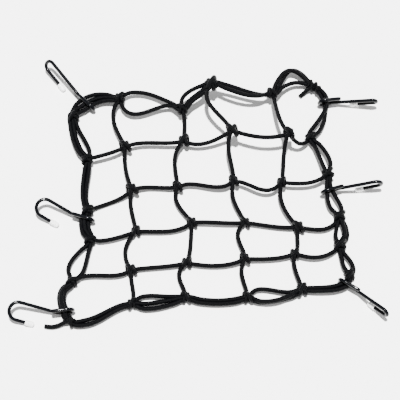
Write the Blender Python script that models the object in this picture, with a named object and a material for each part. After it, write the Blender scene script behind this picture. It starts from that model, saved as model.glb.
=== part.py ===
"""Cargo net of black elastic cord with six wire hooks, lying loosely on a flat floor.

Built the way such a net is made: cords are laid out in five meshes by five, tied
together at thirty-six knots, the edge is run two and three cords thick, and a bent
wire hook is closed round the edge in six places, with a soft cap on each point.
Tables are in millimetres and degrees; the solids are made in metres, +Z up.
"""
import math

import bpy
import bmesh
from mathutils import Vector

# ---------------------------------------------------------------- driving sizes (m)
MM = 0.001
CORD = 6.0 * MM          # thickness of the elastic cord
CORD_SIDES = 6           # flats round a cord
CORD_STEPS = (4, 5, 7)   # lengths along a nearly straight, a bowed and an arched cord
KNOT = 7.6 * MM          # half the width of a pulled-tight knot
KNOT_RIDGE = 0.10        # how far the turns of cord stand out of a knot
NET_KEEP = 0.76          # share of the fused net's small faces that is kept
WIRE = 5.0 * MM          # thickness of a hook's coated wire
WIRE_SIDES = 7
GAP = 0.42 * MM          # clear space between a cap and its wire
CAP_OUT = 3.8 * MM       # half the width of a point cap
CAP_LONG = 12.5 * MM     # length of a cap
CAP_HOLD = 9.0 * MM      # length of wire inside a cap
CAP_PROFILE = [(0.0, CAP_OUT * 0.94), (1.0 * MM, CAP_OUT), (9.5 * MM, CAP_OUT * 0.98),
               (11.5 * MM, CAP_OUT * 0.78), (CAP_LONG, CAP_OUT * 0.35), (CAP_LONG, 0.0)]
CAP_REST = 0.08 * MM     # height at which a cap's facets just clear the floor
SHIFT = Vector((0.0012, -0.0111, 0.0))   # puts the middle of the whole thing over the origin

# ---------------------------------------------------------------- knots (mm)
# row letter a is the far edge and f the near edge; columns run left to right
KNOTS = {
    "a0": (-181, 134, 9), "a1": (-115, 156, 13), "a2": (-26, 136, 17),
    "a3": (17, 171, 30), "a4": (103, 161, 19), "a5": (160, 179, 10),
    "b0": (-158, 56, 14), "b1": (-105, 77, 14), "b2": (-23, 85, 15),
    "b3": (45, 94, 30), "b4": (124, 86, 35), "b5": (156, 94, 10),
    "c0": (-155, -21, 8), "c1": (-94, 10, 12), "c2": (-31, 15, 10),
    "c3": (47, 22, 14), "c4": (113, 19, 15.5), "c5": (178, 33, 17),
    "d0": (-150, -66, 7.5), "d1": (-88, -53, 7.5), "d2": (-11, -39, 8),
    "d3": (62, -39, 7.5), "d4": (135, -46, 8), "d5": (192, -30, 9),
    "e0": (-172, -127, 7.5), "e1": (-93, -110, 7.5), "e2": (-18, -100, 8),
    "e3": (61, -95, 10), "e4": (129, -87, 10), "e5": (191, -73, 8),
    "f0": (-172, -185, 7.5), "f1": (-91, -160, 7.5), "f2": (-19, -151, 7.5),
    "f3": (64, -151, 7.5), "f4": (137, -140, 8), "f5": (202, -120, 9),
}

# ---------------------------------------------------------------- inner cords (mm)
# for each cord: how far it bows to the left of its run at one third and at two
# thirds of the way, and how far its middle is lifted; columns run from the far edge
# to the near edge and rows from left to right
DOWN = {
    1: ((-12, -9, 0), (-4, -4, 1), (-4, -2, 0), (-10, -10, -2), (0, 2, -1)),
    2: ((3, 2, 1), (-9, -6, 1), (-9, -6, 0), (1, 2, -1), (-10, -5, -1)),
    3: ((-17, -11, 9), (-6, -3, 2), (-7, -5, 0), (-10, -5, 0), (-6, -3, -1)),
    4: ((-3, -5, 5), (-3, -1, 2), (-9, -8, 0), (0, 2, 0), (-4, -2, 0)),
}
ACROSS = {
    "b": ((-2, -3, 2), (4, 1, -2), (-7, -5, -7), (-7, -8, 1), (-10, -8, -6)),
    "c": ((0, -2, -6), (4, 2, -4), (2, -5, -2), (-6, -13, 1), (-6, -8, -1)),
    "d": ((-4, -3, 0), (-4, -7, -1), (0, -1, 1), (-1, -2, -1), (-9, -12, -1)),
    "e": ((3, -3, 0), (0, -1, -1), (-5, -6, -2), (-2, -3, -2), (-10, -11, 0)),
}

# ---------------------------------------------------------------- edge cords (mm)
# the edge is followed clockwise; each span has its two knots, the lift of its middle
# and, for every cord from the outside in, the sideways place at its start, at one
# third, at two thirds and at its end (outward of the straight line between knots),
# and how much higher it lies than its span where one cord crosses another
EDGE = {
    "far1": ("a0", "a1", -1, ((7, 19, 17, 2, 0), (-1, 10, 11, -2, 0), (-8, 2, 5, -7, 0))),
    "far2": ("a1", "a2", -4, ((6, 18, 13, 4, 0), (-3, -18, 0, -3, 0))),
    "far3": ("a2", "a3", 2, ((5, 13, 9, 5, 0), (0, 2, 1, 2, 0), (-3, -2, -3, -2, 0))),
    "far4": ("a3", "a4", 0, ((2, 0, -5, -2, 1), (0, -9, -12, 2, 5))),
    "far5": ("a4", "a5", 0, ((4, 23, 30, 1, 3), (0, 17, 33, 9, -3), (-4, 7, 10, -2, 0))),
    "right1": ("a5", "b5", 1.1, ((3, 19, 19, 6, -2), (6, 23, 12, -4, 3))),
    "right2": ("b5", "c5", 0, ((4, 9, 11, 3, 0), (-2, 0, -1, -2, 0))),
    "right3": ("c5", "d5", 0, ((4, -1, 4, 6, 0), (-3, -7, -10, -2, 0))),
    "right4": ("d5", "e5", 0, ((5, 8, 10, 5, 0), (1, 4, 6, 1, 5), (-4, -4, -6, -4, 0))),
    "right5": ("e5", "f5", 0, ((2, 3, 8, 1, 0), (-2, -3, -4, -2, 0))),
    "near5": ("f5", "f4", 1.8, ((9, 14, 9, 3, 0), (3, 8, 4, -3, 0))),
    "near4": ("f4", "f3", 0, ((5, 9, 10, 5, 0), (0, 9, 11, 0, 5), (-4, -1, -9, -5, 0))),
    "near3": ("f3", "f2", 0, ((3, 8, 8, 3, 0), (-3, 3, 3, -3, 0))),
    "near2": ("f2", "f1", 0, ((4, 8, 10, 4, 0), (0, 1, 2, 0, 0), (-5, -5, -9, -5, 0))),
    "near1": ("f1", "f0", 0, ((3, 4, 11, 3, 0), (-2, -1, 4, -2, 0))),
    "left5": ("f0", "e0", 2.6, ((5, 14, 16, 5, 0), (1, 11, 13, 0, 5), (-4, 7, 10, -5, 0))),
    "left4": ("e0", "d0", 0, ((2, 13, 8, 1, 0), (-4, -8, -5, -3, 0))),
    "left3": ("d0", "c0", 2.2, ((5, 10, 10, 5, 0), (0, 5, 5, 0, 2), (-5, 0, 0, -5, 0))),
    "left2": ("c0", "b0", 0, ((3, 7, 5, 2, 0), (-2, 2, -1, -3, 0))),
    "left1": ("b0", "a0", -1, ((4, 10, 10, 5, 0), (-1, 5, 5, 0, 0), (-5, -6, -1, -5, 0))),
}

# the two free ends of cord: knot, then the end point, its lift half way and how far
# it bows towards the near side
TAILS = {
    "tail_far": ("a5", (143, 165, 3.2), 1, 0),
    "tail_near": ("f0", (-207, -190, 3.2), 0, 3),
}
# a second knot pulled up against the first
DOUBLE_KNOT = {"a0": (1, -6, 0), "a3": (4, 5, 0), "a5": (7, -4, 0), "f5": (-1, 6, 0)}

# ---------------------------------------------------------------- hooks
# span it is closed round and how far along; heading of the eye and of the shank in
# the floor plane and turn of the bend about the shank (degrees); width of the bend,
# length of shank, bare length of the return leg and length of the cut end beyond the
# cords (mm); which side of the cords the cut end lies on, and the hand of the bend
HOOKS = {
    "hook_far_left": ("far1", 0.34, 133, 129, -57, 16, 62, 28, 19, -1, 1),
    "hook_far_right": ("right1", 0.32, 8, -6, -102, 11, 58, 22, 18, 1, -1),
    "hook_mid_left": ("left3", 0.73, 162, 154, -20, 24, 44, 16, 13, 1, 1),
    "hook_mid_right": ("right3", 0.39, 17, 2, -96, 16, 54, 19, 15, 1, -1),
    "hook_near_left": ("left5", 0.24, 187, 169, -25, 24, 50, 13, 14, 1, 1),
    "hook_near_right": ("near5", 0.11, -33, -46, -88, 12, 55, 17, 17, 1, -1),
}
EYE_RISE = 6.6           # mm, cord centre to wire centre over and under the cords
EYE_SLACK = 0.7          # mm, extra room in the eye beside the cords
EYE_LEAN = 1.6           # mm, how far the eye leans towards the near side over the cords
NECK = 6.5               # mm from the outer cord to where the shank sets off


# ---------------------------------------------------------------- geometry helpers
def clear_scene():
    for ob in list(bpy.data.objects):
        bpy.data.objects.remove(ob)


def mm(p):
    return Vector((p[0] * MM, p[1] * MM, p[2] * MM)) + SHIFT


def curve_points(p0, q1, q2, p3, steps):
    """Points of the cubic that passes q1 at one third and q2 at two thirds."""
    h1 = (p0 * -5.0 + q1 * 18.0 - q2 * 9.0 + p3 * 2.0) / 6.0
    h2 = (p0 * 2.0 - q1 * 9.0 + q2 * 18.0 - p3 * 5.0) / 6.0
    out = []
    for i in range(steps + 1):
        t = i / steps
        s = 1.0 - t
        out.append(p0 * s ** 3 + h1 * (3 * s * s * t) + h2 * (3 * s * t * t) + p3 * t ** 3)
    return out


def cord_points(start, end, place, lift, steps=0):
    """Centre line of a cord between two knots; place = side offsets in mm."""
    if steps == 0:
        bow = max(abs(place[1]), abs(place[2]), 1.5 * abs(lift))
        steps = CORD_STEPS[0] if bow < 5 else CORD_STEPS[1] if bow < 17 else CORD_STEPS[2]
    a = mm(KNOTS[start])
    b = mm(KNOTS[end])
    run = b - a
    side = Vector((-run.y, run.x, 0.0)).normalized() * MM
    extra = place[4] if len(place) > 4 else 0.0
    up = Vector((0.0, 0.0, (lift + extra) * MM * 8.0 / 9.0))
    q1 = a + run / 3.0 + side * place[1] + up
    q2 = a + run * (2.0 / 3.0) + side * place[2] + up
    pts = curve_points(a + side * place[0], q1, q2, b + side * place[3], steps)
    floor = CORD * 0.53
    return [Vector((p.x, p.y, max(p.z, floor))) for p in pts]


def sweep(bm, pts, radius, sides, spin=0.0):
    """A closed round bar along the points."""
    n = len(pts)
    tangents = []
    for i in range(n):
        a = pts[max(i - 1, 0)]
        b = pts[min(i + 1, n - 1)]
        tangents.append((b - a).normalized())
    ref = Vector((0.0, 0.0, 1.0))
    if abs(tangents[0].dot(ref)) > 0.9:
        ref = Vector((1.0, 0.0, 0.0))
    axis = (ref - tangents[0] * ref.dot(tangents[0])).normalized()
    rings = []
    for i in range(n):
        t = tangents[i]
        axis = (axis - t * axis.dot(t)).normalized()
        other = t.cross(axis)
        ring = []
        for k in range(sides):
            ang = 2.0 * math.pi * k / sides + spin
            ring.append(bm.verts.new(pts[i] + axis * math.cos(ang) * radius + other * math.sin(ang) * radius))
        rings.append(ring)
    for i in range(n - 1):
        for k in range(sides):
            j = (k + 1) % sides
            bm.faces.new((rings[i][k], rings[i][j], rings[i + 1][j], rings[i + 1][k]))
    bm.faces.new(tuple(reversed(rings[0])))
    bm.faces.new(tuple(rings[-1]))
    return rings


def knot_lump(bm, centre, heading, size=1.0, twist=1.0):
    """A pulled-tight knot: three ridged turns of cord round a middle."""
    segs = 10
    rows = 5
    grid = []
    grounded = centre.z - SHIFT.z < 7.8 * MM
    for r in range(1, rows):
        th = math.pi * r / rows
        ring = []
        for k in range(segs):
            ph = 2.0 * math.pi * k / segs
            ridge = 1.0 + KNOT_RIDGE * math.cos(3.0 * ph + twist * 1.6 * math.cos(th))
            rad = KNOT * size * ridge
            v = Vector((rad * math.sin(th) * math.cos(ph + heading),
                        rad * math.sin(th) * math.sin(ph + heading),
                        KNOT * size * 0.97 * math.cos(th)))
            p = centre + v
            if grounded and r == rows - 1:
                p.z = SHIFT.z
            ring.append(bm.verts.new(Vector((p.x, p.y, max(p.z, SHIFT.z)))))
        grid.append(ring)
    top = bm.verts.new(centre + Vector((0.0, 0.0, KNOT * size * 0.97)))
    low = centre.z - KNOT * size * 0.97
    if grounded:
        low = SHIFT.z
    bottom = bm.verts.new(Vector((centre.x, centre.y, max(low, SHIFT.z))))
    for k in range(segs):
        j = (k + 1) % segs
        bm.faces.new((top, grid[0][k], grid[0][j]))
        bm.faces.new((bottom, grid[-1][j], grid[-1][k]))
        for r in range(len(grid) - 1):
            bm.faces.new((grid[r][k], grid[r + 1][k], grid[r + 1][j], grid[r][j]))


def finish_mesh(bm, name, home):
    bmesh.ops.recalc_face_normals(bm, faces=bm.faces)
    me = bpy.data.meshes.new(name)
    bm.to_mesh(me)
    bm.free()
    ob = bpy.data.objects.new(name, me)
    home.objects.link(ob)
    return ob


def weld(ob, dist=0.00001):
    bm = bmesh.new()
    bm.from_mesh(ob.data)
    bmesh.ops.remove_doubles(bm, verts=bm.verts, dist=dist)
    bmesh.ops.dissolve_degenerate(bm, edges=bm.edges, dist=0.00001)
    bmesh.ops.triangulate(bm, faces=bm.faces)
    loose = [e for e in bm.edges if not e.link_faces]
    bmesh.ops.delete(bm, geom=loose, context="EDGES")
    bmesh.ops.recalc_face_normals(bm, faces=bm.faces)
    bm.to_mesh(ob.data)
    bm.free()


def lighten(ob, keep):
    """Drops the slivers left where cords run into each other."""
    thin = ob.modifiers.new("thin", "DECIMATE")
    thin.ratio = keep
    thin.use_collapse_triangulate = True
    bpy.context.view_layer.update()
    deps = bpy.context.evaluated_depsgraph_get()
    me = bpy.data.meshes.new_from_object(ob.evaluated_get(deps))
    ob.modifiers.clear()
    ob.data = me


def paint(ob, mat):
    ob.data.materials.clear()
    ob.data.materials.append(mat)


def material(name, colour, rough, metal=0.0):
    mat = bpy.data.materials.new(name)
    mat.use_nodes = True
    b = mat.node_tree.nodes["Principled BSDF"]
    b.inputs["Base Color"].default_value = (*colour, 1.0)
    b.inputs["Roughness"].default_value = rough
    b.inputs["Metallic"].default_value = metal
    return mat


# ---------------------------------------------------------------- the net
def net_cords():
    """Every cord between two knots, as lists of centre points."""
    rows = "abcdef"
    out = []
    for col, spans in DOWN.items():
        for i, (b1, b2, lift) in enumerate(spans):
            out.append(cord_points(rows[i] + str(col), rows[i + 1] + str(col), (0, b1, b2, 0), lift))
    for row, spans in ACROSS.items():
        for i, (b1, b2, lift) in enumerate(spans):
            out.append(cord_points(row + str(i), row + str(i + 1), (0, b1, b2, 0), lift))
    for start, end, lift, cords in EDGE.values():
        for place in cords:
            out.append(cord_points(start, end, place, lift))
    for knot, tip, lift, bow in TAILS.values():
        a = mm(KNOTS[knot])
        b = mm(tip)
        up = Vector((0.0, -bow, lift)) * MM
        out.append(curve_points(a, a.lerp(b, 0.333) + up, a.lerp(b, 0.667) + up, b, 5))
    return out


def build_net(home, tools, mat):
    bm = bmesh.new()
    for i, pts in enumerate(net_cords()):
        sweep(bm, pts, CORD / 2.0 * 1.04, CORD_SIDES, spin=0.13 * (i % 5))
    cords = finish_mesh(bm, "net", home)
    bm = bmesh.new()
    for i, (name, p) in enumerate(KNOTS.items()):
        on_edge = name[0] in "af" or name[1] in "05"
        size = 1.08 if on_edge else 1.0
        c = mm(p)
        knot_lump(bm, c, 0.9 * i, size, 1.0 if i % 2 else -1.0)
        if name in DOUBLE_KNOT:
            knot_lump(bm, c + Vector(DOUBLE_KNOT[name]) * MM, 0.4, 0.9, 1.0)
    knots = finish_mesh(bm, "knot_lumps", tools)
    cut = cords.modifiers.new("tie", "BOOLEAN")
    cut.operation = "UNION"
    cut.solver = "EXACT"
    cut.use_self = True
    cut.object = knots
    bpy.context.view_layer.update()
    deps = bpy.context.evaluated_depsgraph_get()
    me = bpy.data.meshes.new_from_object(cords.evaluated_get(deps))
    cords.modifiers.clear()
    cords.data = me
    weld(cords)
    lighten(cords, NET_KEEP)
    paint(cords, mat)
    return cords


# ---------------------------------------------------------------- hooks and caps
def smooth_run(points, per=3):
    """Rounds a run of points off with a spline that passes through all of them."""
    pts = [points[0] * 2 - points[1]] + list(points) + [points[-1] * 2 - points[-2]]
    out = []
    for i in range(1, len(pts) - 2):
        p0, p1, p2, p3 = pts[i - 1], pts[i], pts[i + 1], pts[i + 2]
        for k in range(per):
            t = k / per
            out.append((p1 * 2 + (p2 - p0) * t + (p0 * 2 - p1 * 5 + p2 * 4 - p3) * t * t
                        + (p1 * 3 - p0 - p2 * 3 + p3) * t ** 3) * 0.5)
    out.append(points[-1])
    return out


def along(span, share, eye):
    """Middle of the cords of an edge span where a hook's eye crosses them, with half
    their spread along the eye and half their spread in height."""
    start, end, lift, cords = EDGE[span]
    runs = [cord_points(start, end, place, lift, 60) for place in cords]
    spot = round(60 * share)
    mid = sum((run[spot] for run in runs), Vector((0.0, 0.0, 0.0))) / len(runs)
    flank = Vector((-eye.y, eye.x, 0.0))
    met = [min(run, key=lambda p: abs((p - mid).dot(flank))) for run in runs]
    reach = [(p - mid).dot(eye) for p in met]
    rise = [p.z for p in met]
    mid = mid + eye * (max(reach) + min(reach)) / 2.0
    mid.z = (max(rise) + min(rise)) / 2.0
    return mid, (max(reach) - min(reach)) / 2.0, (max(rise) - min(rise)) / 2.0


def heading(turn, climb=0.0):
    h = math.radians(turn)
    c = math.radians(climb)
    return Vector((math.cos(h) * math.cos(c), math.sin(h) * math.cos(c), math.sin(c)))


def hook_frame(row, climb):
    """Where the eye and the shank of a hook lie when its shank climbs by so much."""
    span, share, eye_turn, shank_turn, roll = row[:5]
    cut_side, hand = row[9:]
    eye = heading(eye_turn)
    mid, spread, rise = along(span, share, eye)
    half = spread + EYE_SLACK * MM
    rise += EYE_RISE * MM
    a = heading(shank_turn, climb)
    flat = heading(shank_turn + 90.0) * hand
    v = a.cross(flat).normalized()
    if v.z < 0.0:
        v = -v
    r = math.radians(roll)
    across = flat * math.cos(r) + v * math.sin(r)
    flank = Vector((eye.y, -eye.x, 0.0))
    if flank.y > 0.0:
        flank = -flank
    over = (Vector((0.0, 0.0, rise)) + flank * EYE_LEAN * MM) * cut_side
    neck = mid + eye * (half + NECK * MM) - over * 0.55
    return mid, half, rise, over, eye, a, across, neck


def cap_low(row, climb):
    """Height of the lowest point of a hook's cap above the floor."""
    wide, shank, leg = row[5:8]
    a, across, neck = hook_frame(row, climb)[5:]
    tip = neck + a * (shank - leg) * MM + across * wide * MM
    slant = math.sqrt(1.0 - a.z * a.z)
    return min(tip.z - a.z * along_axis - rad * slant for along_axis, rad in CAP_PROFILE) - SHIFT.z


def resting_climb(row):
    """Climb of the shank at which the hook's cap just lies on the floor."""
    low, high = 0.0, 45.0
    for _ in range(24):
        middle = (low + high) / 2.0
        if cap_low(row, middle) > CAP_REST:
            high = middle
        else:
            low = middle
    return high


def hook_points(row):
    """Centre line of a hook's wire: cut end, eye, neck, shank, bend, return leg."""
    wide, shank, leg, tail = row[5:9]
    mid, half, rise, over, eye, a, across, neck = hook_frame(row, resting_climb(row))
    pts = [mid + eye * (half + tail * MM) + over * 0.9,
           mid + eye * (half + tail * MM * 0.5) + over,
           mid + eye * half + over,
           mid + over,
           mid - eye * half + over]
    for k in range(1, 4):
        ang = math.pi * k / 4.0
        pts.append(mid - eye * (half + EYE_RISE * MM * math.sin(ang)) + over * math.cos(ang))
    pts.append(mid - eye * half - over)
    pts.append(mid - over)
    pts.append(mid + eye * (half - 1.0 * MM) - over)
    pts.append(neck)
    pts.append(neck + a * 7.0 * MM)
    bent = smooth_run(pts, 2)
    top = neck + a * shank * MM
    rad = wide * MM / 2.0
    bent.append(neck + a * (shank * MM * 0.55))
    for k in range(11):
        ang = math.pi * k / 10.0
        bent.append(top + across * rad * (1.0 - math.cos(ang)) + a * rad * math.sin(ang))
    leg_start = top + across * rad * 2.0
    bent.append(leg_start - a * leg * MM * 0.5)
    bent.append(leg_start - a * leg * MM)
    bent.append(leg_start - a * (leg * MM + CAP_HOLD))
    return bent, leg_start - a * leg * MM, -a


def build_hook(name, row, home, mat):
    pts, tip, direction = hook_points(row)
    bm = bmesh.new()
    sweep(bm, pts, WIRE / 2.0, WIRE_SIDES)
    ob = finish_mesh(bm, name, home)
    weld(ob)
    paint(ob, mat)
    return ob


def build_cap(name, row, home, mat):
    """A soft cap: a blind sleeve with a domed end, pushed on the point of the wire."""
    pts, tip, direction = hook_points(row)
    inner = WIRE / 2.0 + GAP
    profile = [(0.0, inner)] + CAP_PROFILE
    floor = CAP_HOLD + GAP
    side = direction.orthogonal().normalized()
    other = direction.cross(side)
    segs = 12
    bm = bmesh.new()
    rings = []
    for along_axis, rad in profile + [(floor, 0.0), (floor, inner)]:
        base = tip + direction * along_axis
        if rad == 0.0:
            rings.append([bm.verts.new(base)])
            continue
        ring = []
        for k in range(segs):
            ang = 2.0 * math.pi * k / segs
            ring.append(bm.verts.new(base + side * math.cos(ang) * rad + other * math.sin(ang) * rad))
        rings.append(ring)
    order = [(0, 1), (1, 2), (2, 3), (3, 4), (4, 5), (5, 6), (7, 8), (8, 0)]
    for i, j in order:
        for k in range(segs):
            m = (k + 1) % segs
            one, two = rings[i], rings[j]
            if len(two) == 1:
                bm.faces.new((one[k], one[m], two[0]))
            elif len(one) == 1:
                bm.faces.new((one[0], two[k], two[m]))
            else:
                bm.faces.new((one[k], one[m], two[m], two[k]))
    ob = finish_mesh(bm, name, home)
    weld(ob)
    paint(ob, mat)
    return ob


def main():
    clear_scene()
    scene = bpy.context.scene
    home = bpy.data.collections.new("cargo_net")
    tools = bpy.data.collections.new("cutters")
    scene.collection.children.link(home)
    scene.collection.children.link(tools)
    elastic = material("elastic_cord", (0.012, 0.012, 0.013), 0.8)
    coated = material("coated_wire", (0.010, 0.010, 0.011), 0.3)
    clear = material("point_cap", (0.80, 0.80, 0.78), 0.35)
    build_net(home, tools, elastic)
    for name, row in HOOKS.items():
        build_hook(name, row, home, coated)
        build_cap(name.replace("hook", "cap"), row, home, clear)
    for ob in tools.objects:
        ob.hide_render = True
        ob.display_type = "WIRE"


main()
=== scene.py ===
# %% [markdown]
# # A stretch cargo net of black elastic cord
# The net is five meshes by five, tied from thin bungee cord. Cords run from the far edge to
# the near edge and from left to right; they are hitched together wherever they cross. The
# edge is two and three cords thick, and six bent wire hooks are closed round it.
# This lesson lays every cord along the route that it really takes, so the knots are made of
# cord and not of lumps. All sizes are in metres; the tables are in millimetres.

# %% Load the frame
import math
from collections import namedtuple

import bpy
import numpy as np
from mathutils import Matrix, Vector


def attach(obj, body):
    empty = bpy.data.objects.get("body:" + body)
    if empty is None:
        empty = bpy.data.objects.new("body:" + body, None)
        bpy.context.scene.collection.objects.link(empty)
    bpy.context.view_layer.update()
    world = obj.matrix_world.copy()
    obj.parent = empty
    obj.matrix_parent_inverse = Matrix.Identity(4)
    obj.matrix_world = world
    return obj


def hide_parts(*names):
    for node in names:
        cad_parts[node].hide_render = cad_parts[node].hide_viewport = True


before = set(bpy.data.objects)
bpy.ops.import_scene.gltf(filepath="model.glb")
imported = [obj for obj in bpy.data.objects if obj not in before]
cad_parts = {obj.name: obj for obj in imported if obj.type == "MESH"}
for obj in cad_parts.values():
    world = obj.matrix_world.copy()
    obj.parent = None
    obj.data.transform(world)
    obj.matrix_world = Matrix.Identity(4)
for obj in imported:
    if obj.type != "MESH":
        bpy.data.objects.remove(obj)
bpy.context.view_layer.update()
print("nodes:", sorted(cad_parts))

# %% [markdown]
# ## Sizes
# A few sizes drive everything: the cord, how much it is squeezed where it is tied, the wire
# of the hooks and the clear caps on their points. Cord and wire are a few tenths fuller than
# in the solids, since a sheath has a nap and a dipped wire has its dip.

# %% Driving sizes
MM = 0.001
CORD = 6.3 * MM             # thickness of the elastic cord, the nap of its sheath included
PULLED = 5.3 * MM           # thickness of the same cord where it is pulled tight in a knot
WIRE = 5.25 * MM            # thickness of a hook's wire with its dip
CAP_OUT = 3.8 * MM          # half the width of a point cap
CAP_LONG = 12.5 * MM        # length of a cap
CAP_HOLD = 9.0 * MM         # length of wire inside a cap
CAP_GAP = 0.42 * MM         # clear space between a cap and its wire
SHIFT = Vector((0.0012, -0.0111, 0.0))      # puts the middle of the net over the origin
UP = Vector((0.0, 0.0, 1.0))
print("cord", CORD / MM, "mm, wire", WIRE / MM, "mm")

# %% [markdown]
# ## Where the knots lie
# The net lies loosely, so no mesh is square. Row letters run from the far edge (a) to the
# near edge (f) and columns from left to right. The third number is the height of the knot's
# middle above the floor: the far middle of the net stands up in an arch.

# %% Knot places
KNOTS = {
    "a0": (-181, 134, 9), "a1": (-115, 156, 13), "a2": (-26, 136, 17),
    "a3": (17, 171, 30), "a4": (103, 161, 19), "a5": (160, 179, 10),
    "b0": (-158, 56, 14), "b1": (-105, 77, 14), "b2": (-23, 85, 15),
    "b3": (45, 94, 30), "b4": (124, 86, 35), "b5": (156, 94, 10),
    "c0": (-155, -21, 8), "c1": (-94, 10, 12), "c2": (-31, 15, 10),
    "c3": (47, 22, 14), "c4": (113, 19, 15.5), "c5": (178, 33, 17),
    "d0": (-150, -66, 7.5), "d1": (-88, -53, 7.5), "d2": (-11, -39, 8),
    "d3": (62, -39, 7.5), "d4": (135, -46, 8), "d5": (192, -30, 9),
    "e0": (-172, -127, 7.5), "e1": (-93, -110, 7.5), "e2": (-18, -100, 8),
    "e3": (61, -95, 10), "e4": (129, -87, 10), "e5": (191, -73, 8),
    "f0": (-172, -185, 7.5), "f1": (-91, -160, 7.5), "f2": (-19, -151, 7.5),
    "f3": (64, -151, 7.5), "f4": (137, -140, 8), "f5": (202, -120, 9),
}


def mm(place):
    """A table place in millimetres as a point in metres."""
    return Vector(place) * MM + SHIFT


print(len(KNOTS), "knots")

# %% [markdown]
# ## How the cords bow
# Between two knots a cord is a soft curve. Each one is given by how far it bows to the left
# of its run at one third and at two thirds of the way, and how far its middle is lifted.
# The edge is followed clockwise, and each of its spans holds two or three cords.

# %% Inner cords
DOWN = {
    1: ((-12, -9, 0), (-4, -4, 1), (-4, -2, 0), (-10, -10, -2), (0, 2, -1)),
    2: ((3, 2, 1), (-9, -6, 1), (-9, -6, 0), (1, 2, -1), (-10, -5, -1)),
    3: ((-17, -11, 9), (-6, -3, 2), (-7, -5, 0), (-10, -5, 0), (-6, -3, -1)),
    4: ((-3, -5, 5), (-3, -1, 2), (-9, -8, 0), (0, 2, 0), (-4, -2, 0)),
}
ACROSS = {
    "b": ((-2, -3, 2), (4, 1, -2), (-7, -5, -7), (-7, -8, 1), (-10, -8, -6)),
    "c": ((0, -2, -6), (4, 2, -4), (2, -5, -2), (-6, -13, 1), (-6, -8, -1)),
    "d": ((-4, -3, 0), (-4, -7, -1), (0, -1, 1), (-1, -2, -1), (-9, -12, -1)),
    "e": ((3, -3, 0), (0, -1, -1), (-5, -6, -2), (-2, -3, -2), (-10, -11, 0)),
}
print(len(DOWN), "cords run down and", len(ACROSS), "run across")

# %% Edge cords
# from knot, to knot, lift, then each cord from the outside in: its sideways place at the
# start, one third, two thirds and the end, and how much higher it lies than its span
EDGE = {
    "far1": ("a0", "a1", -1, ((7, 19, 17, 2, 0), (-1, 10, 11, -2, 0), (-8, 2, 5, -7, 0))),
    "far2": ("a1", "a2", -4, ((6, 18, 13, 4, 0), (-3, -18, 0, -3, 0))),
    "far3": ("a2", "a3", 2, ((5, 13, 9, 5, 0), (0, 2, 1, 2, 0), (-3, -2, -3, -2, 0))),
    "far4": ("a3", "a4", 0, ((2, 0, -5, -2, 1), (0, -9, -12, 2, 5))),
    "far5": ("a4", "a5", 0, ((4, 23, 30, 1, 3), (0, 17, 33, 9, -3), (-4, 7, 10, -2, 0))),
    "right1": ("a5", "b5", 1.1, ((3, 19, 19, 6, -2), (6, 23, 12, -4, 3))),
    "right2": ("b5", "c5", 0, ((4, 9, 11, 3, 0), (-2, 0, -1, -2, 0))),
    "right3": ("c5", "d5", 0, ((4, -1, 4, 6, 0), (-3, -7, -10, -2, 0))),
    "right4": ("d5", "e5", 0, ((5, 8, 10, 5, 0), (1, 4, 6, 1, 5), (-4, -4, -6, -4, 0))),
    "right5": ("e5", "f5", 0, ((2, 3, 8, 1, 0), (-2, -3, -4, -2, 0))),
    "near5": ("f5", "f4", 1.8, ((9, 14, 9, 3, 0), (3, 8, 4, -3, 0))),
    "near4": ("f4", "f3", 0, ((5, 9, 10, 5, 0), (0, 9, 11, 0, 5), (-4, -1, -9, -5, 0))),
    "near3": ("f3", "f2", 0, ((3, 8, 8, 3, 0), (-3, 3, 3, -3, 0))),
    "near2": ("f2", "f1", 0, ((4, 8, 10, 4, 0), (0, 1, 2, 0, 0), (-5, -5, -9, -5, 0))),
    "near1": ("f1", "f0", 0, ((3, 4, 11, 3, 0), (-2, -1, 4, -2, 0))),
    "left5": ("f0", "e0", 2.6, ((5, 14, 16, 5, 0), (1, 11, 13, 0, 5), (-4, 7, 10, -5, 0))),
    "left4": ("e0", "d0", 0, ((2, 13, 8, 1, 0), (-4, -8, -5, -3, 0))),
    "left3": ("d0", "c0", 2.2, ((5, 10, 10, 5, 0), (0, 5, 5, 0, 2), (-5, 0, 0, -5, 0))),
    "left2": ("c0", "b0", 0, ((3, 7, 5, 2, 0), (-2, 2, -1, -3, 0))),
    "left1": ("b0", "a0", -1, ((4, 10, 10, 5, 0), (-1, 5, 5, 0, 0), (-5, -6, -1, -5, 0))),
}
print(len(EDGE), "edge spans,", sum(len(span[3]) for span in EDGE.values()), "edge cords")

# %% [markdown]
# ## From a table row to a line in space
# A cubic curve passes through its two ends and the points at one third and two thirds, so
# the table can say where the cord really is and not where invisible handles are.


# %% Cord lines
SPAN_STEPS = 24             # short lengths that a cord of the mesh is followed in


def bowed_line(start, third, two_thirds, end, steps):
    """Points of the cubic through four given points."""
    h1 = (start * -5.0 + third * 18.0 - two_thirds * 9.0 + end * 2.0) / 6.0
    h2 = (start * 2.0 - third * 9.0 + two_thirds * 18.0 - end * 5.0) / 6.0
    out = []
    for i in range(steps + 1):
        t = i / steps
        s = 1.0 - t
        out.append(start * s ** 3 + h1 * (3 * s * s * t) + h2 * (3 * s * t * t) + end * t ** 3)
    return out


def cord_line(first, last, place, lift, steps=SPAN_STEPS):
    """Centre line of a cord from one knot to another."""
    a, b = mm(KNOTS[first]), mm(KNOTS[last])
    run = b - a
    left = Vector((-run.y, run.x, 0.0)).normalized() * MM
    # lifted by 8/9 at both thirds, the curve's middle is lifted by the whole amount
    rise = UP * (lift + (place[4] if len(place) > 4 else 0.0)) * MM * 8.0 / 9.0
    line = bowed_line(a + left * place[0], a + run / 3.0 + left * place[1] + rise,
                      a + run * (2.0 / 3.0) + left * place[2] + rise, b + left * place[3], steps)
    return [Vector((p.x, p.y, max(p.z, CORD / 2.0))) for p in line]


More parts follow.
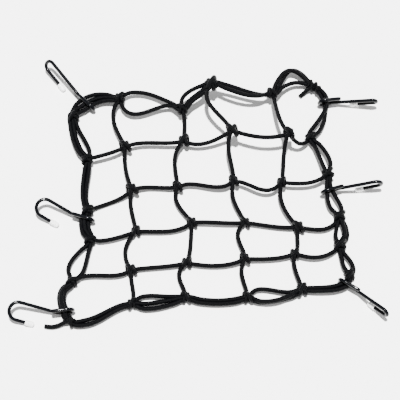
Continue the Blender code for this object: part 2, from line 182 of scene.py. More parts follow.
sample = cord_line("c2", "c3", (0, 1, -5, 0), -2)
sample_long = sum((q - p).length for p, q in zip(sample, sample[1:]))
print("one mesh side is %.0f mm of cord" % (sample_long / MM))

# %% [markdown]
# ## The hitch that makes a knot
# Each crossing is tied with the cord going once round the other one, diagonally over itself,
# round again and out under the diagonal. Seen from above that gives two turns side by side
# and one slanting turn on top, which is what shows on the real knots. A turn is given by its
# place along the core, its angle round the core and how far it rides on what lies below.

# %% The hitch
# place along the core (mm), angle round it (degrees), ride on what lies below (mm)
HITCH = ((1.4, 30, 0.6), (2.2, 90, 0.0), (2.9, 150, 0.0), (3.4, 205, 0.0), (4.0, 260, 0.0),
         (4.5, 310, 0.0), (4.9, 355, 0.3), (4.4, 395, 1.5), (2.5, 425, 2.5), (0.0, 450, 2.8),
         (-2.5, 475, 2.5), (-4.4, 505, 1.5), (-4.9, 545, 0.3), (-4.5, 590, 0.0),
         (-4.0, 640, 0.0), (-3.4, 695, 0.0), (-2.9, 750, 0.0), (-2.2, 810, 0.0), (-1.4, 870, 0.6))


def hitch(middle, core, arrive, wide, high, hand=1, turns=HITCH, size=1.0):
    """Points of a cord tied round a core; it arrives from one side and leaves by the other."""
    across = (arrive - core * arrive.dot(core)).normalized()
    top = core.cross(across)
    if top.z < 0.0:
        top = -top
    out = []
    for place, angle, ride in turns:
        turn = math.radians(angle)
        out.append(middle + core * (place * hand * size * MM)
                   + across * math.cos(turn) * (wide + ride * size * MM)
                   + top * math.sin(turn) * (high + ride * size * MM))
    return out


# thickness of the knots that are looser or tighter than the rest, which count as 1
LOOSER = {
    "a0": 1.2, "a1": 1.1, "a3": 1.22, "a4": 0.95, "b1": 1.12, "b2": 1.17, "b3": 1.25,
    "b4": 1.09, "b5": 0.94, "c0": 1.06, "c1": 1.12, "c5": 1.1, "d0": 0.94, "d4": 1.13,
    "d5": 1.08, "e1": 1.06, "e2": 1.06, "e5": 1.12, "f1": 0.92, "f4": 1.12,
}


def loose(name):
    """How much thicker a knot is than one pulled quite tight."""
    return LOOSER.get(name, 1.0)


print(len(HITCH), "points in a hitch;", len(LOOSER), "knots looser or tighter than the rest")

# %% [markdown]
# ## The way through each knot
# Every knot needs the direction of the cord that is tied round (the core) and where the
# tying cord comes from. Inner knots are tied round the cord that runs across; edge knots are
# tied round the whole bundle of edge cords.


# %% Directions at the knots
ROWS = "abcdef"
COLUMNS = "012345"
RING = [span[0] for span in EDGE.values()]
SLOT_ASIDE = 1.7 * MM       # middle of the bundle to its outer and its inner cord
SLOT_BELOW = 0.5 * MM       # how far those two lie below the middle
SLOT_ABOVE = 2.2 * MM       # how far the upper cord rides above the middle


def flat_unit(way):
    """A direction laid level with the floor, one unit long."""
    return Vector((way.x, way.y, 0.0)).normalized()


def core_way(name):
    """Direction of the core through a knot, level with the floor."""
    if name in RING:
        i = RING.index(name)
        before, after = RING[i - 1], RING[(i + 1) % len(RING)]
        a = flat_unit(mm(KNOTS[name]) - mm(KNOTS[before]))
        b = flat_unit(mm(KNOTS[after]) - mm(KNOTS[name]))
        return flat_unit(a + b)
    col = int(name[1])
    left, right = mm(KNOTS[name[0] + str(col - 1)]), mm(KNOTS[name[0] + str(col + 1)])
    return (right - left).normalized()


def bundle_slots(name):
    """Where the outer, inner and upper edge cord pass through an edge knot."""
    way = core_way(name)
    side = Vector((-way.y, way.x, 0.0))
    mid = mm(KNOTS[name])
    return {"outer": mid + side * SLOT_ASIDE - UP * SLOT_BELOW,
            "inner": mid - side * SLOT_ASIDE - UP * SLOT_BELOW,
            "upper": mid + UP * SLOT_ABOVE}


print("edge ring:", " ".join(RING))

# %% [markdown]
# ## Smooth routes and round cord
# A route is a list of points with a thickness at each. It is smoothed, then a ring of points
# is carried along it without twisting. Every corner of every face keeps its place round the
# cord and its distance along it, so the braid of the sheath can follow the cord.


# %% A smooth route
EASE = 0.25                 # share of each kink that one pass takes out
EASE_PASSES = 2


def smooth_route(points, thick, per=3):
    """Runs a spline through the points, in so many steps for each, and evens it out a little."""
    p = np.array([list(v) for v in points])
    r = np.array(thick)
    ends = np.vstack([2 * p[0] - p[1], p, 2 * p[-1] - p[-2]])
    rr = np.concatenate([[r[0]], r, [r[-1]]])
    out, rad = [], []
    for i in range(1, len(ends) - 2):
        p0, p1, p2, p3 = ends[i - 1:i + 3]
        for k in range(per):
            t = k / per
            out.append(0.5 * (2 * p1 + (p2 - p0) * t + (2 * p0 - 5 * p1 + 4 * p2 - p3) * t * t
                              + (3 * p1 - p0 - 3 * p2 + p3) * t ** 3))
            rad.append(rr[i] * (1 - t) + rr[i + 1] * t)
    out.append(p[-1])
    rad.append(r[-1])
    out, rad = np.array(out), np.array(rad)
    for _ in range(EASE_PASSES):
        out[1:-1] += EASE * (out[:-2] - 2 * out[1:-1] + out[2:])
        rad[1:-1] += EASE * (rad[:-2] - 2 * rad[1:-1] + rad[2:])
    out[:, 2] = np.maximum(out[:, 2], rad)      # nothing goes through the floor
    return out, rad


print("a route is eased", EASE_PASSES, "times")


# %% Meshes and tubes
STEEP = 0.9                 # a route that starts more upright takes its first side from x
CORD_SIDES = 12             # flats round a cord, before they are shaded smooth
CORD_END = 0.12             # how much a cord's cut end draws in
TUBE_CREASE = 55            # degrees; a sharper edge than this stays sharp


def into_scene(name, data):
    """A new object with this data, linked to the scene."""
    thing = bpy.data.objects.new(name, data)
    bpy.context.scene.collection.objects.link(thing)
    return thing


def smooth_mesh(name, verts, faces, crease):
    """A mesh that is shaded smooth except across edges sharper than the crease."""
    mesh = bpy.data.meshes.new(name)
    mesh.from_pydata([tuple(v) for v in verts], [], faces)
    mesh.polygons.foreach_set("use_smooth", [True] * len(mesh.polygons))
    mesh.set_sharp_from_angle(angle=math.radians(crease))
    return mesh


def carried_axes(path):
    """Two directions square to the path at each point, carried along it without a twist."""
    tangent = np.gradient(path, axis=0)
    tangent /= np.linalg.norm(tangent, axis=1)[:, None]
    level = abs(tangent[0][2]) < STEEP
    guide = np.array([0.0, 0.0, 1.0]) if level else np.array([1.0, 0.0, 0.0])
    axis = guide - tangent[0] * guide.dot(tangent[0])
    pairs = []
    for way in tangent:
        axis = axis - way * axis.dot(way)
        axis = axis / np.linalg.norm(axis)
        pairs.append((axis, np.cross(way, axis)))
    return pairs


def tube_mesh(name, routes, sides=CORD_SIDES, end_round=CORD_END):
    """One mesh of round tubes, with the place round and along each tube stored as 'lay'."""
    verts, faces, lay = [], [], []
    for path, rad in routes:
        n = len(path)
        dist = np.concatenate([[0.0], np.cumsum(np.linalg.norm(np.diff(path, axis=0), axis=1))])
        base = len(verts)
        for i, (axis, other) in enumerate(carried_axes(path)):
            size = rad[i] * (1.0 - end_round if i in (0, n - 1) else 1.0)
            for k in range(sides):
                ang = 2 * math.pi * k / sides
                verts.append(path[i] + size * (axis * math.cos(ang) + other * math.sin(ang)))
        for i in range(n - 1):
            for k in range(sides):
                j = (k + 1) % sides
                row, nxt = base + i * sides, base + (i + 1) * sides
                faces.append((row + k, row + j, nxt + j, nxt + k))
                lay += [(k / sides, dist[i], 0), ((k + 1) / sides, dist[i], 0),
                        ((k + 1) / sides, dist[i + 1], 0), (k / sides, dist[i + 1], 0)]
        for ring, flip in ((base, True), (base + (n - 1) * sides, False)):
            loop = [ring + k for k in range(sides)]
            faces.append(tuple(reversed(loop)) if flip else tuple(loop))
            lay += [(0.5, 0.0, 1.0)] * sides
    mesh = smooth_mesh(name, verts, faces, TUBE_CREASE)
    place = mesh.attributes.new("lay", "FLOAT_VECTOR", "CORNER")
    place.data.foreach_set("vector", np.array(lay, dtype=np.float32).ravel())
    return into_scene(name, mesh)


print("a cord has", CORD_SIDES, "sides")

# %% [markdown]
# ## Cords of the mesh
# A cord that runs down starts tied round the far edge, hitches round each cord that it
# crosses and ends tied round the near edge. A cord that runs across is tied round the left
# and right edges and passes straight through the hitches of the others.

# %% Mesh cords
CLEAR = 8.5 * MM            # a span's own curve stops this far from the middle of a knot
ENTRY = 6.0 * MM            # where a cord goes into a hitch, from the middle of the knot
DOUBLE_TIE = {"a3": (-3, -4, 0)}     # a second hitch beside the first, mm
BUNDLE_WIDE = 3.0 * MM      # half the width of the edge cords where they are tied
BUNDLE_HIGH = {2: 1.6 * MM, 3: 2.5 * MM}     # half its height, by how many cords it holds
TUCKED = (-0.8, 850, -2.4)  # a tie's last point, in under its own turns


def trimmed(line, first, last):
    """The part of a span's curve that is clear of both knots."""
    a, b = mm(KNOTS[first]), mm(KNOTS[last])
    return [p for p in line if (p - a).length > CLEAR and (p - b).length > CLEAR]


def cords_at(name):
    """How many edge cords are tied together at an edge knot."""
    i = RING.index(name)
    spans = list(EDGE.values())
    return max(len(spans[i - 1][3]), len(spans[i][3]))


def straight_in(points, mid, way_in, way_out):
    """Lets a hitch start and end in line with the cord on either side of it."""
    for spot, way in ((0, way_in), (-1, way_out)):
        level = flat_unit(way) * ENTRY
        points[spot] = Vector((mid.x + level.x, mid.y + level.y, points[spot].z))
    return points


def hand_of(name, arrive):
    """Which way along the core a cord that arrives from here takes its turns."""
    return 1 if arrive.dot(core_way(name)) > 0.0 else -1


def edge_tie(name, inward):
    """The hitch of a mesh cord round the edge, from the mesh inward, its end tucked away."""
    size = loose(name)
    wide = BUNDLE_WIDE + PULLED * size / 2.0
    high = BUNDLE_HIGH[cords_at(name)]
    mid = mm(KNOTS[name]) + UP * (high - BUNDLE_HIGH[2]) * 0.5
    high += PULLED * size / 2.0
    turns = HITCH[:-1] + (TUCKED,)
    hand = hand_of(name, inward)
    points = hitch(mid, core_way(name), inward, wide, high, hand, turns, size)
    if name in DOUBLE_TIE:
        beside = mid + Vector(DOUBLE_TIE[name]) * MM
        points += hitch(beside, core_way(name), inward, wide, high, hand, HITCH[1:-1], size)
    return points


def mesh_route(names, spans, tie_inner):
    """Route of one mesh cord through the knots named, tied at both edges."""
    points, thick = [], []

    def add(more, size):
        points.extend(more)
        thick.extend([size / 2.0] * len(more))

    lines = []
    for first, last, (third, two_thirds, lift) in zip(names, names[1:], spans):
        line = cord_line(first, last, (0, third, two_thirds, 0), lift)
        lines.append(trimmed(line, first, last))
    set_off = flat_unit(lines[0][0] - mm(KNOTS[names[0]]))
    add(list(reversed(edge_tie(names[0], set_off))), PULLED * loose(names[0]))
    for i, line in enumerate(lines):
        add(line, CORD)
        name = names[i + 1]
        mid = mm(KNOTS[name])
        came = flat_unit(line[-1] - mid)
        size = loose(name)
        if i == len(lines) - 1:
            add(edge_tie(name, came), PULLED * size)
        elif tie_inner:
            reach = PULLED * size
            turns = hitch(mid, core_way(name), came, reach, reach, hand_of(name, came), HITCH, size)
            leaves = flat_unit(lines[i + 1][0] - mid)
            add(straight_in(turns, mid, came, leaves), PULLED * size)
        else:
            add([mid], PULLED)
    return smooth_route(points, thick)


down_routes = [mesh_route([row + str(col) for row in ROWS], spans, True)
               for col, spans in DOWN.items()]
across_routes = [mesh_route([row + col for col in COLUMNS], spans, False)
                 for row, spans in ACROSS.items()]
down_cords = tube_mesh("down_cords", down_routes)
across_cords = tube_mesh("across_cords", across_routes)
print("mesh cords:", len(down_cords.data.polygons) + len(across_cords.data.polygons), "faces")

# %% [markdown]
# ## Edge cords
# Two cords run all round the edge, and in nine of its twenty spans a third lies with them.
# They draw together into one bundle where they are tied and spread apart between the knots.
# Each cord is followed from knot to knot by the slot that it takes in the bundle.

# %% Edge cords
DRAW = 17.0 * MM            # distance from a knot over which the edge cords draw together
SEAM = 8                    # span at whose first knot the ends of a cord meet, under the tie
EDGE_STEPS = 20             # short lengths that a span of edge cord is followed in


def slots_of(cords, end):
    """Names the slot of each cord of a span at its start (0) or end (3), outside first."""
    order = sorted(range(len(cords)), key=lambda i: -cords[i][end])
    names = ("outer", "upper", "inner") if len(cords) == 3 else ("outer", "inner")
    return {i: names[rank] for rank, i in enumerate(order)}


def drawn_in(line, knot, slot):
    """Pulls the points of a line near a knot onto their slot in the bundle."""
    mid, target = mm(KNOTS[knot]), bundle_slots(knot)[slot]
    way = core_way(knot)
    out = []
    for p in line:
        near = max(0.0, 1.0 - (p - mid).length / DRAW)
        pull = near * near * (3.0 - 2.0 * near)
        rail = target + way * (p - mid).dot(way)
        out.append(p.lerp(rail, pull))
    return out


def edge_routes():
    """Follows each cord round the edge, slot by slot, until every span's cords are laid."""
    spans = list(EDGE.values())
    into = [slots_of(span[3], 0) for span in spans]
    out_of = [slots_of(span[3], 3) for span in spans]
    waiting = {(i, c) for i, span in enumerate(spans) for c in range(len(span[3]))}
    routes = []
    while waiting:
        # a third cord starts where the span before has none; the other two start at the seam
        starts = sorted((i, c) for i, c in waiting
                        if into[i][c] == "upper" and "upper" not in out_of[i - 1].values())
        from_seam = sorted(waiting, key=lambda key: ((key[0] - SEAM) % len(spans), key[1]))
        i, c = (starts or from_seam)[0]
        points = []
        while (i, c) in waiting:
            waiting.discard((i, c))
            first, last, lift, cords = spans[i]
            line = cord_line(first, last, cords[c], lift, EDGE_STEPS)
            line = drawn_in(line, first, into[i][c])
            slot = out_of[i][c]
            line = drawn_in(line, last, slot)
            points += line[1:] if points else line
            i = (i + 1) % len(spans)
            ahead = {name: cord for cord, name in into[i].items()}
            if slot not in ahead:
                break
            c = ahead[slot]
        routes.append(smooth_route(points, [CORD / 2.0] * len(points), 2))
    return routes


edge_lines = edge_routes()
edge_cords = tube_mesh("edge_cords", edge_lines)
print(len(edge_lines), "edge cords,", len(edge_cords.data.polygons), "faces")

# %% [markdown]
# ## Corner ties and the two free ends
# At the corners the edge cords are bound with a turn of their own. At two of them the end
# of that cord is left over and lies on the floor: one points back in under the far right
# corner and one points outward at the near left corner.

# %% Corner ties
TAILS = {"a5": ((143, 165, 3.2), 0), "f0": ((-207, -190, 3.2), 3)}    # tip and bow, mm
FIRST_TIE = {"a0": (1, -5, 0)}          # how far a tie is from the corner itself, mm
SECOND_TIE = {"a5": (7, -4, 0), "f5": (-1, 4, 0)}     # one pulled up to the first, mm
TIED_TO = {"a0": "b0", "f5": "e5"}      # the neighbour whose cords a corner tie goes round
CORNER_CORD = 4.6 * MM                  # thickness of the cord in these tight ties
CORNER_WIDE = 4.6 * MM                  # middle of the bundle to the middle of a turn
TUCKED_UNDER = (0.6, -10, -2.0)         # a corner tie's first point, in under its own turns
TAIL_START = 9.0 * MM                   # middle of the tie to where its free end shows
TAIL_SINK = 1.0 * MM                    # how far a free end drops once it is clear of the tie
TAIL_STEPS = 6


def tail_points(mid, tip, bow):
    """Points of a free end that leaves a tie and lies on the floor in a slight bow."""
    start = mid.lerp(tip, TAIL_START / (tip - mid).length)
    out = []
    for k in range(TAIL_STEPS + 1):
        share = k / TAIL_STEPS
        p = start.lerp(tip, share) - Vector((0.0, bow * MM * math.sin(math.pi * share), 0.0))
        p.z = max(p.z - (0.0 if k == 0 else TAIL_SINK), CORD / 2.0)
        out.append(p)
    return out


def corner_route(name):
    """Route of the cord that binds a corner, with its free end where it has one."""
    mid = mm(KNOTS[name]) + Vector(FIRST_TIE.get(name, (0, 0, 0))) * MM
    way = flat_unit(mid - mm(KNOTS[TIED_TO[name]])) if name in TIED_TO else core_way(name)
    side = Vector((way.y, -way.x, 0.0))
    size = loose(name)
    cord = CORNER_CORD * size
    high = BUNDLE_HIGH[cords_at(name)] + cord / 2.0
    turns = (TUCKED_UNDER,) + HITCH[:-1]
    points = hitch(mid, way, side, CORNER_WIDE * size, high, 1, turns, size)
    if name in SECOND_TIE:
        beside = mid + Vector(SECOND_TIE[name]) * MM
        points += hitch(beside, way, side, CORNER_WIDE * size, high, 1, HITCH[1:-1], size)
    thick = [cord / 2.0] * len(points)
    if name in TAILS:
        tip, bow = TAILS[name]
        end, end_rad = tail_points(mid, mm(tip), bow), CORD / 2.0
    else:
        end, end_rad = [mid], cord / 2.0
    return smooth_route(points + end, thick + [end_rad] * len(end))


corner_ties = tube_mesh("corner_ties", [corner_route(name) for name in ("a0", "a5", "f5", "f0")])
print("corner ties:", len(corner_ties.data.polygons), "faces")

# %% [markdown]
# ## Hooks
# A hook is one length of wire: a cut end, a long narrow eye closed round the edge cords, a
# straight shank, a round bend and a short return leg. They were bent by hand, so each row of
# the table is a little different.

# %% Hooks
# span and share of it; heading of the eye and of the shank, turn of the bend about the
# shank (degrees); width of the bend, shank, return leg, cut end (mm); side of the cut end;
# hand of the bend
Hook = namedtuple("Hook", "span share eye_turn shank_turn roll wide shank leg cut cut_side hand")
HOOKS = {
    "far_left": Hook("far1", 0.34, 133, 129, -57, 16, 62, 28, 19, -1, 1),
    "far_right": Hook("right1", 0.32, 8, -6, -102, 11, 58, 22, 18, 1, -1),
    "mid_left": Hook("left3", 0.73, 162, 154, -20, 24, 44, 16, 13, 1, 1),
    "mid_right": Hook("right3", 0.39, 17, 2, -96, 16, 54, 19, 15, 1, -1),
    "near_left": Hook("left5", 0.24, 187, 169, -25, 24, 50, 13, 14, 1, 1),
    "near_right": Hook("near5", 0.11, -33, -46, -88, 12, 55, 17, 17, 1, -1),
}
EYE_RISE = 6.6 * MM         # cord centre to wire centre, over and under the cords
EYE_SLACK = 0.7 * MM        # extra room in the eye beside the cords
EYE_LEAN = 1.6 * MM         # lean of the eye towards the near side, over the cords
NECK = 6.5 * MM             # outer cord to where the shank sets off
# shares of the eye's half height, to the cut end's side and to the shank's side
CUT_ASIDE = 0.9
NECK_ASIDE = 0.55
CROSS_STEPS = 60            # short lengths a span is followed in to find the cords in an eye
CAP_REST = 0.08 * MM        # gap between a cap and the floor
# distance along a cap and its half width there, from the open end to the tip
CAP_PROFILE = ((0.0, CAP_OUT * 0.80), (0.15 * MM, CAP_OUT * 0.95), (0.6 * MM, CAP_OUT),
               (1.5 * MM, CAP_OUT * 0.985), (9.0 * MM, CAP_OUT * 0.98), (10.4 * MM, CAP_OUT * 0.93),
               (11.4 * MM, CAP_OUT * 0.80), (12.1 * MM, CAP_OUT * 0.55), (CAP_LONG, 0.0))


def heading(turn, climb=0.0):
    """The direction with this turn on the floor and this climb above it, in degrees."""
    h, c = math.radians(turn), math.radians(climb)
    return Vector((math.cos(h) * math.cos(c), math.sin(h) * math.cos(c), math.sin(c)))


def where_eye_crosses(span, share, eye):
    """Middle of the edge cords under a hook's eye, their half spread and half height."""
    first, last, lift, cords = EDGE[span]
    lines = [cord_line(first, last, place, lift, CROSS_STEPS) for place in cords]
    spot = round(CROSS_STEPS * share)
    mid = sum((line[spot] for line in lines), Vector()) / len(lines)
    flank = Vector((-eye.y, eye.x, 0.0))
    met = [min(line, key=lambda p: abs((p - mid).dot(flank))) for line in lines]
    reach = [(p - mid).dot(eye) for p in met]
    rise = [p.z for p in met]
    mid = mid + eye * (max(reach) + min(reach)) / 2.0
    mid.z = (max(rise) + min(rise)) / 2.0
    return mid, (max(reach) - min(reach)) / 2.0, (max(rise) - min(rise)) / 2.0


print(len(HOOKS), "hooks, on the spans", " ".join(hook.span for hook in HOOKS.values()))

# %% [markdown]
# A hook can only lie one way: its eye is held by the cords and its cap comes to rest on the
# floor. So the climb of the shank isn't in the table. It is found by halving, between level
# and 45 degrees, until the lowest point of the cap just touches.


# %% How a hook comes to rest
STEEPEST = 45.0             # degrees
HALVINGS = 24


def hook_eye(hook):
    """Middle and half length of a hook's eye, half height towards the cut end, and heading."""
    eye = heading(hook.eye_turn)
    mid, spread, rise = where_eye_crosses(hook.span, hook.share, eye)
    near = Vector((eye.y, -eye.x, 0.0))
    near = -near if near.y > 0.0 else near
    over = (UP * (rise + EYE_RISE) + near * EYE_LEAN) * hook.cut_side
    return mid, spread + EYE_SLACK, over, eye


def hook_shank(hook, climb):
    """Where the shank of a hook sets off, its direction, and the side its bend turns to."""
    mid, half, over, eye = hook_eye(hook)
    way = heading(hook.shank_turn, climb)
    flat = heading(hook.shank_turn + 90.0) * hook.hand
    lean = way.cross(flat).normalized()
    lean = -lean if lean.z < 0.0 else lean
    roll = math.radians(hook.roll)
    across = flat * math.cos(roll) + lean * math.sin(roll)
    return mid + eye * (half + NECK) - over * NECK_ASIDE, way, across


def tip_of(hook, climb):
    """Where the cap starts on the wire, and which way it points."""
    neck, way, across = hook_shank(hook, climb)
    return neck + way * (hook.shank - hook.leg) * MM + across * hook.wide * MM, -way


def resting_climb(hook):
    """The climb, in degrees, at which the cap just lies on the floor."""
    low, high = 0.0, STEEPEST
    for _ in range(HALVINGS):
        middle = (low + high) / 2.0
        tip, way = tip_of(hook, middle)
        slant = math.sqrt(1.0 - way.z ** 2)
        if min(tip.z + way.z * along - rad * slant for along, rad in CAP_PROFILE) > CAP_REST:
            high = middle
        else:
            low = middle
    return high


for name, hook in HOOKS.items():
    print("the shank of hook", name, "climbs %.0f degrees" % resting_climb(hook))


# %% Bending a hook
SHORT_BY = 1.0 * MM         # the eye's side towards the shank stops short by this much
SET_OFF = 7.0 * MM          # first straight stretch of the shank
EYE_STEPS = 4               # short lengths round the closed end of the eye
BEND_STEPS = 18             # short lengths round the bend
LEG_STEPS = 8               # short lengths along the shank, and along the return leg
WIRE_SIDES = 16
WIRE_END = 0.25             # how much the wire's cut end draws in


def eye_line(hook, neck, way):
    """Points of the wire from its cut end, round the eye and on to the shank."""
    cut = hook.cut * MM
    mid, half, over, eye = hook_eye(hook)
    line = [mid + eye * (half + cut) + over * CUT_ASIDE, mid + eye * (half + cut * 0.5) + over,
            mid + eye * half + over, mid + over, mid - eye * half + over]
    for k in range(1, EYE_STEPS):
        turn = math.pi * k / EYE_STEPS
        line.append(mid - eye * (half + EYE_RISE * math.sin(turn)) + over * math.cos(turn))
    line += [mid - eye * half - over, mid - over, mid + eye * (half - SHORT_BY) - over]
    return line + [neck, neck + way * SET_OFF]


def hook_line(hook):
    """Centre line of the wire, and the point and direction where the cap starts."""
    climb = resting_climb(hook)
    neck, way, across = hook_shank(hook, climb)
    line = eye_line(hook, neck, way)
    eased, _ = smooth_route(line, [WIRE / 2.0] * len(line), 4)
    top = neck + way * hook.shank * MM
    straight = [Vector(p) for p in eased[:-1]]
    straight += [line[-1].lerp(top, k / LEG_STEPS) for k in range(LEG_STEPS)]
    rad = hook.wide * MM / 2.0
    bend = [top + across * rad * (1.0 - math.cos(a)) + way * rad * math.sin(a)
            for a in (math.pi * k / BEND_STEPS for k in range(BEND_STEPS + 1))]
    tip, back_way = tip_of(hook, climb)
    inside_cap = tip + back_way * CAP_HOLD
    back = [bend[-1].lerp(inside_cap, k / LEG_STEPS) for k in range(1, LEG_STEPS + 1)]
    return straight + bend + back, tip, back_way


def add_hook(name, hook):
    """The wire of a hook, and the point and direction where its cap starts."""
    line, tip, way = hook_line(hook)
    path = np.array([list(p) for p in line])
    rad = np.full(len(path), WIRE / 2.0)
    return tube_mesh("wire_" + name, [(path, rad)], WIRE_SIDES, WIRE_END), tip, way


wires, tips = {}, {}
for name, hook in HOOKS.items():
    wires[name], *tips[name] = add_hook(name, hook)
    top = max(v.co.z for v in wires[name].data.vertices)
    print("hook", name, "reaches %.0f mm high" % (top / MM))

# %% [markdown]
# ## Point caps
# The cap is a blind sleeve of soft clear plastic with a domed end and a slightly rolled lip.
# It is turned like a bowl: one profile spun about the wire.

# %% Caps
CAP_SIDES = 28
CAP_LIP = 0.25 * MM         # depth of the rolled lip inside the open end
CAP_CREASE = 60             # degrees


def add_cap(name, tip, way):
    """A cap whose open end is at the tip, turned from its bore's blind end to its dome."""
    bore = WIRE / 2.0 + CAP_GAP
    blind = CAP_HOLD + CAP_GAP
    profile = ((blind, 0.0), (blind, bore), (CAP_LIP, bore)) + CAP_PROFILE
    side = way.orthogonal().normalized()
    other = way.cross(side)
    verts, faces, rings = [], [], []
    for along, rad in profile:
        count = 1 if rad == 0.0 else CAP_SIDES
        rings.append(list(range(len(verts), len(verts) + count)))
        for k in range(count):
            ang = 2 * math.pi * k / CAP_SIDES
            verts.append(tip + way * along + (side * math.cos(ang) + other * math.sin(ang)) * rad)
    for one, two in zip(rings, rings[1:]):
        for k in range(CAP_SIDES):
            j = (k + 1) % CAP_SIDES
            quad = [one[k % len(one)], one[j % len(one)], two[j % len(two)], two[k % len(two)]]
            faces.append(tuple(dict.fromkeys(quad)))
    title = "clear_cap_" + name
    return into_scene(title, smooth_mesh(title, verts, faces, CAP_CREASE))


caps = {name: add_cap(name, *tips[name]) for name in HOOKS}
print(len(caps), "caps")

# %% [markdown]
# ## Materials
# The cord has a braided polyester sheath: near black and dull, with fine yarns crossing on a
# slant. The braid is worked out from each point's place round the cord and along it, so it
# follows every bend. The hooks are dipped in glossy black plastic. The caps are soft, milky
# and clear.


# %% Material helpers
def blank_material(name):
    """A new material, with its nodes, its links and its shader."""
    mat = bpy.data.materials.new(name)
    mat.use_nodes = True
    nodes, links = mat.node_tree.nodes, mat.node_tree.links
    return mat, nodes, links, nodes["Principled BSDF"]


def sum_node(nodes, links, kind, first, second):
    """A math node whose inputs are numbers or other nodes' outputs."""
    node = nodes.new("ShaderNodeMath")
    node.operation = kind
    for socket, value in zip(node.inputs, (first, second)):
        if isinstance(value, (int, float)):
            socket.default_value = value
        else:
            links.new(value, socket)
    return node.outputs[0]


def blend_of(nodes, links, share, dark, light):
    """Two colours mixed by a share that varies over the surface."""
    ramp = nodes.new("ShaderNodeValToRGB")
    ramp.color_ramp.elements[0].color = (*dark, 1.0)
    ramp.color_ramp.elements[1].color = (*light, 1.0)
    links.new(share, ramp.inputs[0])
    return ramp.outputs[0]


def mottle(nodes, links, scale, detail=2.0):
    """Cloudy noise that stays put on the piece."""
    where = nodes.new("ShaderNodeTexCoord")
    noise = nodes.new("ShaderNodeTexNoise")
    noise.inputs["Scale"].default_value = scale
    noise.inputs["Detail"].default_value = detail
    links.new(where.outputs["Object"], noise.inputs["Vector"])
    return noise.outputs[0]


def relief(nodes, links, shader, height, strength, depth):
    """Lets a height that varies over the surface catch the light."""
    bump = nodes.new("ShaderNodeBump")
    bump.inputs["Strength"].default_value = strength
    bump.inputs["Distance"].default_value = depth
    links.new(height, bump.inputs["Height"])
    links.new(bump.outputs[0], shader.inputs["Normal"])


def colour(links, shader, mixed):
    """Gives the shader a colour that varies over the surface."""
    links.new(mixed, shader.inputs["Base Color"])


print("material helpers ready")

# %% Braided sheath
BRAID_YARNS = 8             # yarns that slant each way round the cord
BRAID_PITCH = 9.0 * MM      # length of cord in which a yarn goes once round
BRAID_DEPTH = 0.25 * MM
FUZZ = 900.0                # grain of the loose fibres, per metre
FUZZ_SHARE = 0.5            # how much they count beside the yarns
# the dark colour goes in the grooves between the yarns as painted shade, the light one on the yarn
# tops
SHEATH_COLOURS = ((0.00005, 0.00005, 0.00005), (0.0010, 0.0011, 0.0016))


def braided_sheath():
    """Dull near-black polyester braid, with painted shade in the grooves between its yarns."""
    mat, nodes, links, shader = blank_material("braided_sheath")
    lay = nodes.new("ShaderNodeAttribute")
    lay.attribute_name = "lay"
    split = nodes.new("ShaderNodeSeparateXYZ")
    links.new(lay.outputs["Vector"], split.inputs[0])
    round_turn = 2 * math.pi * BRAID_YARNS
    turn = sum_node(nodes, links, "MULTIPLY", split.outputs[0], round_turn)
    slant = sum_node(nodes, links, "MULTIPLY", split.outputs[1], round_turn / BRAID_PITCH)
    one = sum_node(nodes, links, "SINE", sum_node(nodes, links, "ADD", turn, slant), 0.0)
    two = sum_node(nodes, links, "SINE", sum_node(nodes, links, "SUBTRACT", turn, slant), 0.0)
    crossing = sum_node(nodes, links, "MULTIPLY", one, two)
    yarn = sum_node(nodes, links, "ABSOLUTE", crossing, 0.0)
    fuzz = sum_node(nodes, links, "MULTIPLY", mottle(nodes, links, FUZZ, detail=3.0), FUZZ_SHARE)
    rough_yarn = sum_node(nodes, links, "ADD", yarn, fuzz)
    # the colour follows the braid's height: painted shade darkens the grooves between the yarns,
    # and the loose fibres add a real random tone
    colour(links, shader, blend_of(nodes, links, rough_yarn, *SHEATH_COLOURS))
    relief(nodes, links, shader, rough_yarn, strength=0.6, depth=BRAID_DEPTH)
    shader.inputs["Roughness"].default_value = 0.5
    shader.inputs["Specular IOR Level"].default_value = 0.035
    return mat


sheath = braided_sheath()
print("sheath:", BRAID_YARNS, "yarns each way, once round in", BRAID_PITCH / MM, "mm")


# %% Dipped wire
DIP_RUNS = 260.0            # grain of the dip's slow waves, per metre
DIP_DEPTH = 0.12 * MM
DIP_COLOURS = ((0.0007, 0.0008, 0.0011), (0.0013, 0.0016, 0.0024))


def dipped_wire():
    """Glossy black plastic that was dipped on and ran a little before it set."""
    mat, nodes, links, shader = blank_material("dipped_wire")
    runs = mottle(nodes, links, DIP_RUNS)
    colour(links, shader, blend_of(nodes, links, runs, *DIP_COLOURS))
    relief(nodes, links, shader, runs, strength=0.25, depth=DIP_DEPTH)
    shader.inputs["Roughness"].default_value = 0.14
    shader.inputs["Specular IOR Level"].default_value = 0.11
    return mat


wire_dip = dipped_wire()
print("wire:", wire_dip.name)

# %% Clear caps
CLOUDS = 320.0              # grain of the milkiness, per metre
CAP_COLOURS = ((0.80, 0.80, 0.78), (0.92, 0.92, 0.90))


def milky_cap():
    """Soft plastic that lets light in a few millimetres deep."""
    mat, nodes, links, shader = blank_material("milky_cap")
    clouds = mottle(nodes, links, CLOUDS)
    colour(links, shader, blend_of(nodes, links, clouds, *CAP_COLOURS))
    shader.inputs["Roughness"].default_value = 0.35
    shader.inputs["IOR"].default_value = 1.45
    shader.inputs["Subsurface Weight"].default_value = 0.6
    shader.inputs["Subsurface Radius"].default_value = (0.003, 0.003, 0.003)
    shader.inputs["Subsurface Scale"].default_value = 1.0
    return mat


cap_plastic = milky_cap()
print("caps:", cap_plastic.name)

# %% Finishes on the pieces
net_cords = (down_cords, across_cords, edge_cords, corner_ties)
for piece in net_cords:
    piece.data.materials.append(sheath)
for name in HOOKS:
    wires[name].data.materials.append(wire_dip)
    caps[name].data.materials.append(cap_plastic)
print("finishes:", sheath.name, wire_dip.name, cap_plastic.name)
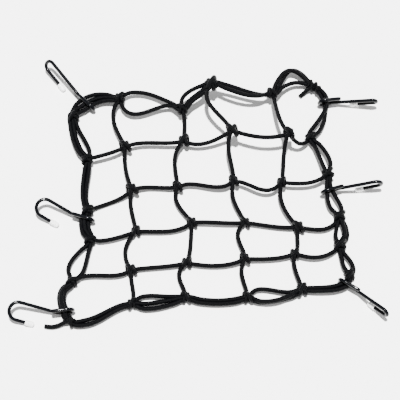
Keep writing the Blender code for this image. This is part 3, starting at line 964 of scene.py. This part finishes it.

# %% [markdown]
# ## Every piece gets its place in the model
# The net has no joints, so every piece rides on the one body. The cords together stand for
# the solid net, and each hook and cap for its own solid.

# %% Bodies
for piece in net_cords:
    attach(piece, "root")
    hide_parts("net")
for name in HOOKS:
    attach(wires[name], "root")
    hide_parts("hook_" + name)
    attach(caps[name], "root")
    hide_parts("cap_" + name)
print("pieces:", len(net_cords) + 2 * len(HOOKS))

# %% [markdown]
# ## Floor, light and camera
# The net lies on a plain white board. The light is nearly straight overhead, so each cord's
# shadow lies right beneath it. The camera looks down from the near side through a long lens.

# %% Floor
BOARD_SIDE = 6.0
BOARD_TONES = 3.0           # grain of the board's faint unevenness, per metre
BOARD_COLOURS = ((0.86, 0.86, 0.86), (0.88, 0.88, 0.88))


def white_board():
    """Matt white board, not quite even."""
    mat, nodes, links, shader = blank_material("white_board")
    tones = mottle(nodes, links, BOARD_TONES)
    colour(links, shader, blend_of(nodes, links, tones, *BOARD_COLOURS))
    shader.inputs["Roughness"].default_value = 0.9
    return mat


bpy.ops.mesh.primitive_plane_add(size=BOARD_SIDE, location=(0.0, 0.0, 0.0))
board = bpy.context.object
board.name = "white_board"
board.data.materials.append(white_board())
print("floor:", tuple(board.dimensions))

# %% Light
LAMP_POWER = 20.0
LAMP_WIDE = 3.5             # degrees across, which sets how soft the shadows are
ROOM_POWER = 0.7            # light from the pale surroundings

key = bpy.data.lights.new("overhead", "SUN")
key.energy = LAMP_POWER
key.angle = math.radians(LAMP_WIDE)
lamp = into_scene("overhead", key)
lamp.location = (0.0, 0.0, 2.0)
room = bpy.data.worlds.new("studio")
room.use_nodes = True
backdrop = room.node_tree.nodes["Background"]
backdrop.inputs["Color"].default_value = (1.0, 1.0, 1.0, 1.0)
backdrop.inputs["Strength"].default_value = ROOM_POWER
bpy.context.scene.world = room
print("overhead light", LAMP_POWER, "and pale surroundings", ROOM_POWER)

# %% Camera
TILT = math.radians(63.0)   # height of the view above the floor
REACH = 2.073               # distance from the net
LENS = 134.2                # millimetres, as lenses are named
SENSOR = 36.0

look_at = Vector((SHIFT.x, SHIFT.y, 0.0))
eye_place = look_at + Vector((0.0, -math.cos(TILT), math.sin(TILT))) * REACH
camera = bpy.data.cameras.new("view")
camera.lens = LENS
camera.sensor_width = SENSOR
camera.clip_end = 50.0
view = into_scene("view", camera)
view.location = eye_place
view.rotation_euler = (look_at - eye_place).to_track_quat("-Z", "Y").to_euler()
bpy.context.scene.camera = view
print("camera at", tuple(round(c, 3) for c in eye_place))
